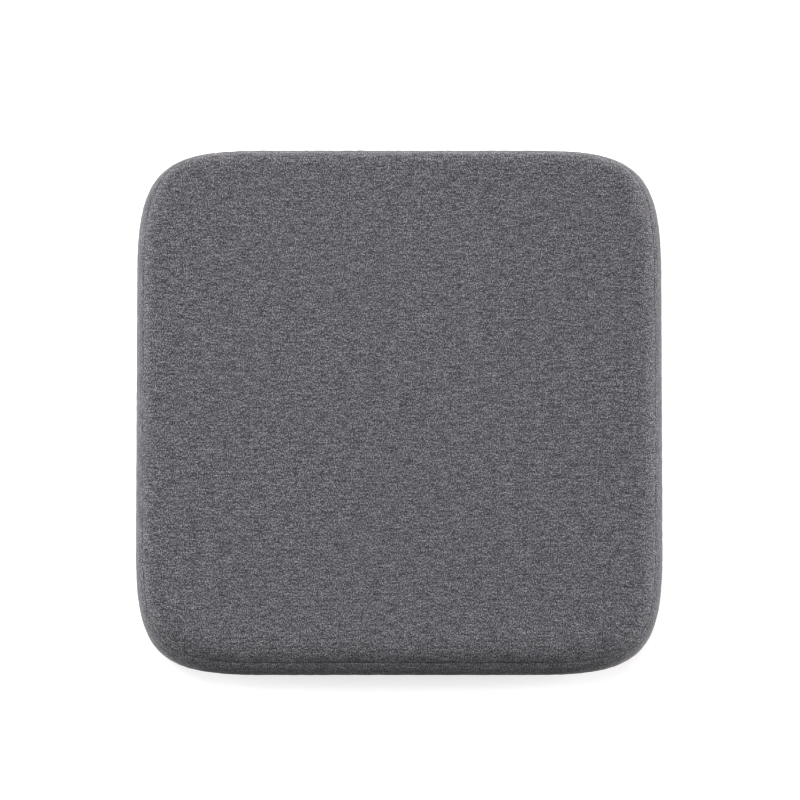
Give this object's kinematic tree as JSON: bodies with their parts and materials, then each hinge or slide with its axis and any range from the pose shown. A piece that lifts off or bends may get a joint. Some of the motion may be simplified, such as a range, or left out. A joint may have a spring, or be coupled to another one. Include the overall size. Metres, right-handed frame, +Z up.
{
  "type": "kneeling pad",
  "caption": "Square foam kneeling pad with long soft corners, a removable heather-grey knit cover, a zip along its rear side and a rubber-dotted underside.",
  "frame": {"origin": "on the floor under the middle of the pad, at the foot of the centre grip dot", "axes": "+Z up through the kneeling face, +X to the right along the front edge, -Y towards the front; the zip is on the +Y side"},
  "size_m": [0.4, 0.4006, 0.04],
  "materials": {
    "heather_knit": "short-pile grey melange knit with a soft sheen at grazing angles",
    "base_cloth": "dark plain-woven polyester",
    "cover_thread": "twisted polyester sewing thread",
    "grip_rubber": "soft moulded rubber, slightly glossy",
    "liner_cloth": "thin white single-jersey knit",
    "liner_thread": "white overlock thread",
    "soft_foam": "cream slow-recovery polyurethane foam, open cells",
    "firm_foam": "pale grey polyurethane foam, open cells",
    "label_cloth": "blank white satin label tape",
    "zip_tape": "dark grey herringbone-woven tape",
    "zip_coil": "dark grey nylon monofilament",
    "stop_metal": "painted aluminium",
    "slider_metal": "zinc die casting in satin dark grey paint"
  },
  "bodies": {
    "pad": {"comfort_foam": "soft_foam", "support_foam": "firm_foam", "liner_top_panel": "liner_cloth", "liner_base_panel": "liner_cloth", "liner_seam_thread": "liner_thread", "cover_top_panel": "heather_knit", "side_band": "heather_knit", "zip_strip_upper": "heather_knit", "zip_strip_lower": "heather_knit", "zip_end_patch_left": "heather_knit", "zip_end_patch_right": "heather_knit", "cover_base_panel": "base_cloth", "grip_dots": "grip_rubber", "top_seam_thread": "cover_thread", "base_seam_thread": "cover_thread", "care_label": "label_cloth", "zip_tape_upper": "zip_tape", "zip_tape_lower": "zip_tape", "zip_coil_upper": "zip_coil", "zip_coil_lower": "zip_coil", "zip_top_stops": "stop_metal", "zip_bottom_stop": "stop_metal", "zip_stitching": "cover_thread"},
    "slider": {"slider_body": "slider_metal"},
    "pull": {"slider_pull": "slider_metal"}
  },
  "joints": [
    {"name": "zip_slide", "type": "slide", "parent": "pad", "child": "slider", "axis": [1, 0, 0], "range_m": [0, 0.216], "deforming": ["zip_coil_upper", "zip_coil_lower"]},
    {"name": "pull_swing", "type": "hinge", "parent": "slider", "child": "pull", "pos_m": [-0.111, 0.19925, 0.02], "axis": [0, 0, 1], "range_deg": [0, 180]}
  ]
}
